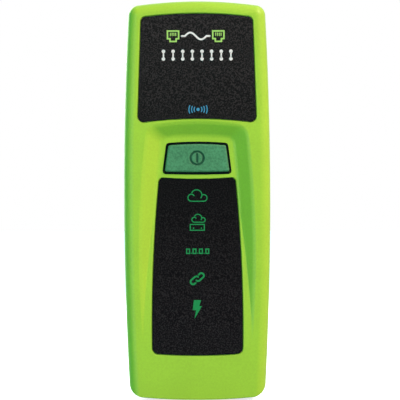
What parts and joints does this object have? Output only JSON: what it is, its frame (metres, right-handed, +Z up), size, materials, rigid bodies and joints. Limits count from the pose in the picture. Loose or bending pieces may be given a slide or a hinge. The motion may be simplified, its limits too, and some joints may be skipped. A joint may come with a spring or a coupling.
{
  "type": "network cable tester",
  "caption": "Hand-held network cable tester: waisted case with a sunk scoop, push button, dark overlay panels, end socket and hinged battery door.",
  "frame": {"origin": "bottom centre of the bounding box, at the socket end", "axes": "+Z up along the case towards the wireless end, -Y out of the front face, +X to the right seen from the front"},
  "size_m": [0.0408, 0.0305, 0.111],
  "materials": {
    "shell_green": "fine moulded texture, lime green",
    "shell_charcoal": "fine moulded texture, charcoal",
    "overlay_film": "speckled textured film",
    "button_green": "fine textured, dark green",
    "foam": "closed-cell foam",
    "label_film": "silver film, blank",
    "screw_steel": "blackened steel",
    "bezel_black": "moulded black",
    "socket_black": "moulded black",
    "shield_metal": "tinned sheet",
    "gold_contacts": "gold plated",
    "board_green": "solder mask",
    "switch_black": "moulded black",
    "switch_plunger": "moulded red",
    "light_guide_clear": "milky translucent",
    "led_white": "white body",
    "chip_black": "moulded epoxy",
    "antenna_ceramic": "ceramic",
    "inductor_grey": "ferrite",
    "capacitor_can": "plain can",
    "tray_black": "moulded black",
    "contact_nickel": "nickel plated",
    "cell_wrap": "plain printed wrap",
    "lead_red": "insulated lead",
    "lead_black": "insulated lead"
  },
  "bodies": {
    "case": {"battery_cell_left": "cell_wrap", "battery_cell_right": "cell_wrap", "battery_lead_negative": "lead_black", "battery_lead_positive": "lead_red", "battery_tray": "tray_black", "board_screws": "screw_steel", "capacitors": "capacitor_can", "case_screws": "screw_steel", "crystal": "shield_metal", "front_shell": "shell_green", "jack_bezel": "bezel_black", "jack_body": "socket_black", "jack_contacts": "gold_contacts", "jack_shield": "shield_metal", "light_baffle": "bezel_black", "light_guide": "light_guide_clear", "lower_overlay": "overlay_film", "main_board": "board_green", "memory_chip": "chip_black", "network_chip": "chip_black", "plate_contacts": "contact_nickel", "power_inductor": "inductor_grey", "processor": "chip_black", "rating_label": "label_film", "rear_shell": "shell_charcoal", "spring_contacts": "contact_nickel", "status_leds": "led_white", "tact_switch": "switch_black", "transformer_module": "chip_black", "upper_overlay": "overlay_film", "wifi_antenna": "antenna_ceramic", "wifi_module": "board_green", "wifi_shield": "shield_metal", "wireless_light_pipe": "light_guide_clear"},
    "battery_hatch": {"battery_door": "shell_charcoal", "door_foam_pad": "foam"},
    "power_key": {"power_button": "button_green", "switch_plunger": "switch_plunger"}
  },
  "joints": [
    {"name": "battery_door_hinge", "type": "hinge", "parent": "case", "child": "battery_hatch", "pos_m": [0, 0.0141, 0.0406], "axis": [-1, 0, 0], "range_deg": [0, 95]},
    {"name": "power_button_press", "type": "slide", "parent": "case", "child": "power_key", "axis": [0, 1, 0], "range_m": [0, 0.0004], "stiffness_N_per_m": 2000, "springref_m": -0.0005}
  ]
}
